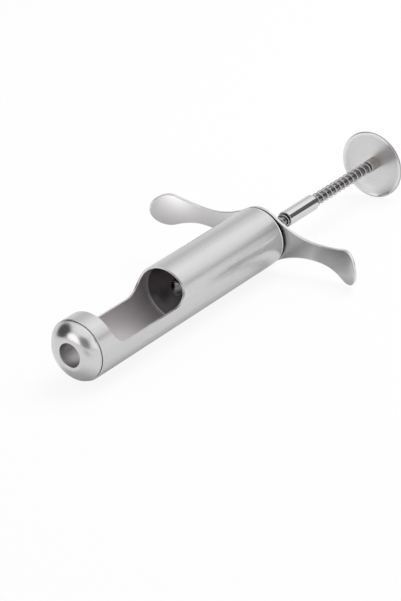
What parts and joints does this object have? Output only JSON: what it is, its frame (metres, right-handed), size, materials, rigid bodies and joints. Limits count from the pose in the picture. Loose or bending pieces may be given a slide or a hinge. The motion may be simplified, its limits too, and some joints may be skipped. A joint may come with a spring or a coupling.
{
  "type": "cherry pitter",
  "caption": "Stainless syringe-type fruit pitter: tube with half-cut fruit window, domed outlet cap, winged finger plate and sprung plunger with thumb disc.",
  "frame": {"origin": "under the middle of the tool's length, at the height of the thumb disc's lowest point", "axes": "+Y along the tool's axis towards the thumb disc, +Z out of the fruit window, +X towards the right-hand wing"},
  "size_m": [0.1124, 0.2288, 0.033],
  "materials": {
    "brushed_tube": "brushed along the tube",
    "satin_cap": "fine turned satin",
    "inner_steel": "plain drawn steel",
    "polished_steel": "polished",
    "satin_plate": "satin with polished edges",
    "rod_steel": "ground",
    "spring_wire": "bright drawn wire",
    "polished_sleeve": "mirror polished",
    "satin_disc": "satin"
  },
  "bodies": {
    "barrel": {"barrel_tube": "brushed_tube", "fruit_cup": "inner_steel", "rear_plug": "polished_steel", "handle_plate": "satin_plate", "lock_nut": "polished_steel"},
    "cap": {"front_cap": "satin_cap"},
    "plunger": {"plunger_rod": "rod_steel", "coring_head": "polished_steel", "disc_collar": "rod_steel", "thumb_disc": "satin_disc", "return_spring": "spring_wire"},
    "sleeve": {"stop_sleeve": "polished_sleeve"}
  },
  "joints": [
    {"name": "plunger_slide", "type": "slide", "parent": "barrel", "child": "plunger", "axis": [0, -1, 0], "range_m": [0, 0.0626], "stiffness_N_per_m": 120, "springref_m": -0.03, "deforming": ["return_spring"]},
    {"name": "sleeve_slide", "type": "slide", "parent": "barrel", "child": "sleeve", "axis": [0, -1, 0], "range_m": [0, 0.0152]},
    {"name": "cap_unscrew", "type": "slide", "parent": "barrel", "child": "cap", "axis": [0, -1, 0], "range_m": [0, 0.012]}
  ],
  "couplings": [
    {"joint": "sleeve_slide", "follows": "plunger_slide", "ratio": 0.2412}
  ]
}
